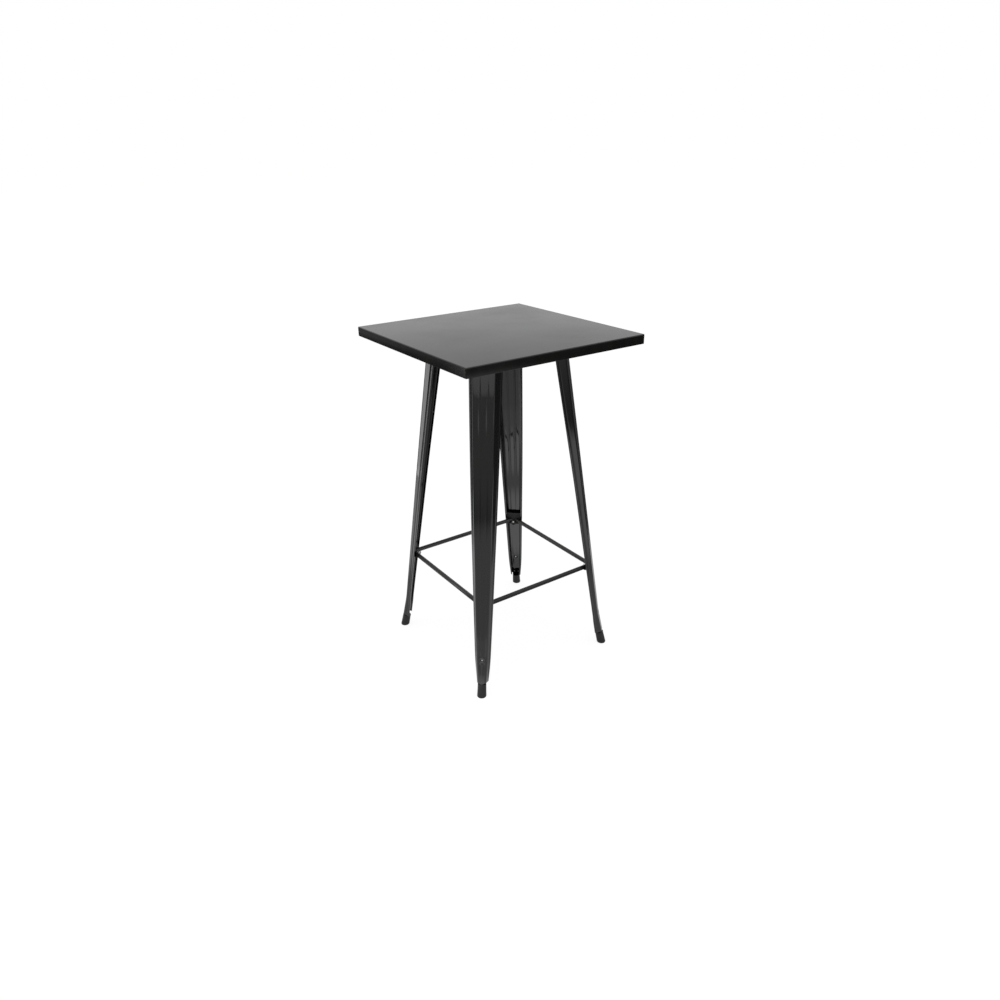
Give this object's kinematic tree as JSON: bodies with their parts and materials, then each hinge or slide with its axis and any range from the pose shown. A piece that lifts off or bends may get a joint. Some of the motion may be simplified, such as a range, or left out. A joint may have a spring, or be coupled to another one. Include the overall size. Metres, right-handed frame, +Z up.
{
  "type": "pub table",
  "caption": "Square bar-height table of black pressed steel: a folded top on tapered, fluted channel legs set on the diagonals, a low ring of round footrest rods and rubber foot caps.",
  "frame": {"origin": "on the floor under the middle of the top", "axes": "+Z up, +X to the table's right and +Y to its back, along the sides of the square top; the legs stand on the diagonals"},
  "size_m": [0.6, 0.6, 1.05],
  "materials": {
    "top_paint": "black powder coat, semi-gloss, fine orange peel",
    "leg_paint": "black powder coat, glossy",
    "frame_paint": "black powder coat, semi-gloss",
    "footrest_paint": "black powder coat, glossy",
    "zinc_plate": "bright zinc plate",
    "cap_rubber": "black rubber, satin"
  },
  "bodies": {
    "root": {"top_pan": "top_paint", "top_rail_long": "frame_paint", "top_rail_half_front_right": "frame_paint", "top_rail_half_back_left": "frame_paint", "leg_front_left": "leg_paint", "leg_plate_front_left": "frame_paint", "footrest_bracket_front_left": "frame_paint", "footrest_corner_plate_front_left": "footrest_paint", "leg_front_right": "leg_paint", "leg_plate_front_right": "frame_paint", "footrest_bracket_front_right": "frame_paint", "footrest_corner_plate_front_right": "footrest_paint", "leg_back_right": "leg_paint", "leg_plate_back_right": "frame_paint", "footrest_bracket_back_right": "frame_paint", "footrest_corner_plate_back_right": "footrest_paint", "leg_back_left": "leg_paint", "leg_plate_back_left": "frame_paint", "footrest_bracket_back_left": "frame_paint", "footrest_corner_plate_back_left": "footrest_paint", "footrest_rod_front": "footrest_paint", "footrest_rod_right": "footrest_paint", "footrest_rod_back": "footrest_paint", "footrest_rod_left": "footrest_paint", "footrest_bolts": "zinc_plate", "footrest_nuts": "frame_paint", "foot_caps": "cap_rubber"}
  },
  "joints": []
}
